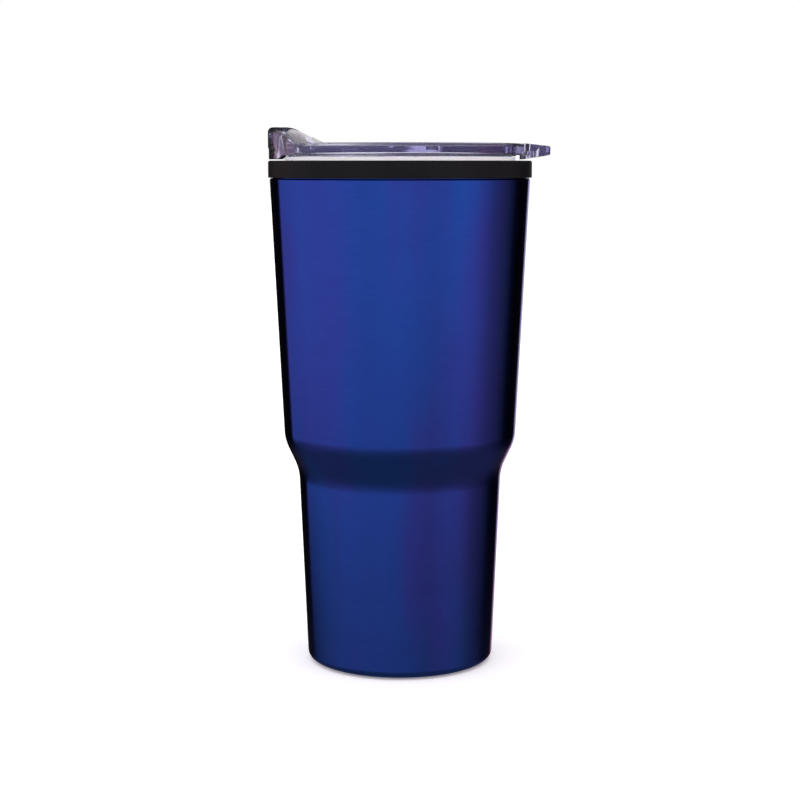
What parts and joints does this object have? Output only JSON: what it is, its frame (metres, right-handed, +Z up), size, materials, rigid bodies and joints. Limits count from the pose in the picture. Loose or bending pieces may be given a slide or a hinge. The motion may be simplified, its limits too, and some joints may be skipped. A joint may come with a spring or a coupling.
{
  "type": "insulated tumbler with lid",
  "caption": "Tall stepped double-walled steel tumbler with a black liner and rim band, and a clear press-in lid with a spout, a lift tab and a sliding closure.",
  "frame": {"origin": "centre of the foot pad's underside, on the axis of the cup", "axes": "+Z up along the cup's axis; -X towards the drinking spout, +X towards the lift tab; the object mirrors in the XZ plane"},
  "size_m": [0.1083, 0.1016, 0.2087],
  "materials": {
    "blue_steel": "translucent metallic blue over brushed steel",
    "bare_steel": "pressed and brushed",
    "black_plastic": "matte moulded",
    "black_rubber": "matte, non-slip",
    "clear_plastic": "clear with a faint violet tint, polished",
    "silicone": "translucent"
  },
  "bodies": {
    "cup": {"outer_shell": "blue_steel", "inner_liner": "black_plastic", "lip_seal": "silicone", "base_disc": "bare_steel", "foot_pad": "black_rubber"},
    "lid": {"lid_body": "clear_plastic", "lid_gasket": "silicone"},
    "closure": {"slide_button": "clear_plastic", "shutter": "clear_plastic", "shutter_seal": "silicone"}
  },
  "joints": [
    {"name": "lid_lift", "type": "slide", "parent": "cup", "child": "lid", "axis": [0, 0, 1], "range_m": [0, 0.045]},
    {"name": "closure_slide", "type": "slide", "parent": "lid", "child": "closure", "axis": [1, 0, 0], "range_m": [0, 0.01]}
  ]
}
